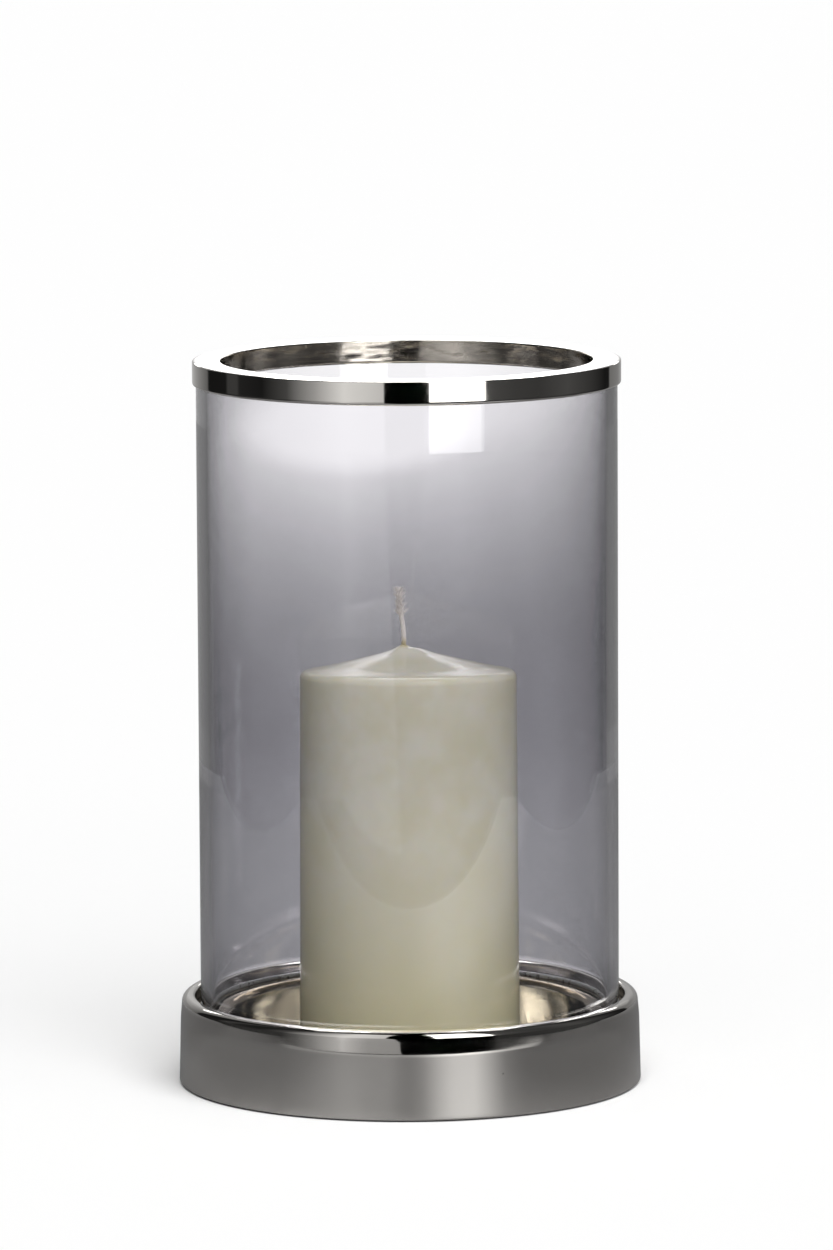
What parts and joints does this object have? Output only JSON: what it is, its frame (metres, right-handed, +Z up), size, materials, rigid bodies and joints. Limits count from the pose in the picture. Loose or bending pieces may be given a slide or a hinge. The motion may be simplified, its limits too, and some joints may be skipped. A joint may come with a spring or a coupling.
{
  "type": "candle lamp with glass shade",
  "caption": "Table hurricane lamp: a polished metal dish base carries a straight glass cylinder with a metal top ring round an ivory pillar candle.",
  "frame": {"origin": "centre of the felt underside, on the table under the lamp's axis", "axes": "+Z up along the lamp's axis, -Y towards the viewer of the picture, +X to the viewer's right"},
  "size_m": [0.169, 0.169, 0.265],
  "materials": {
    "polished_nickel": "hand-polished nickel with fine wear and small pits",
    "tray_nickel": "satin nickel with turning marks",
    "plain_steel": "zinc-grey steel, not polished",
    "felt": "dense black felt",
    "clear_silicone": "clear soft silicone",
    "shade_glass": "pale smoke-grey glass with fire-polished ends",
    "candle_wax": "ivory wax with a soft satin sheen",
    "wick_cotton": "braided cotton soaked with wax"
  },
  "bodies": {
    "base": {"base_ring": "polished_nickel", "drip_tray": "tray_nickel", "tray_standoffs": "plain_steel", "bottom_plate": "plain_steel", "plate_screws": "plain_steel", "felt_pad": "felt", "glass_seat": "clear_silicone"},
    "shade": {"glass_shade": "shade_glass"},
    "cap_ring": {"top_ring": "polished_nickel", "ring_cushion": "clear_silicone"},
    "candle": {"candle_wax": "candle_wax", "candle_wick": "wick_cotton"}
  },
  "joints": [
    {"name": "shade_lift", "type": "slide", "parent": "base", "child": "shade", "axis": [0, 0, 1], "range_m": [0, 0.17]},
    {"name": "ring_lift", "type": "slide", "parent": "shade", "child": "cap_ring", "axis": [0, 0, 1], "range_m": [0, 0.04]},
    {"name": "candle_lift", "type": "slide", "parent": "base", "child": "candle", "axis": [0, 0, 1], "range_m": [0, 0.28]}
  ]
}
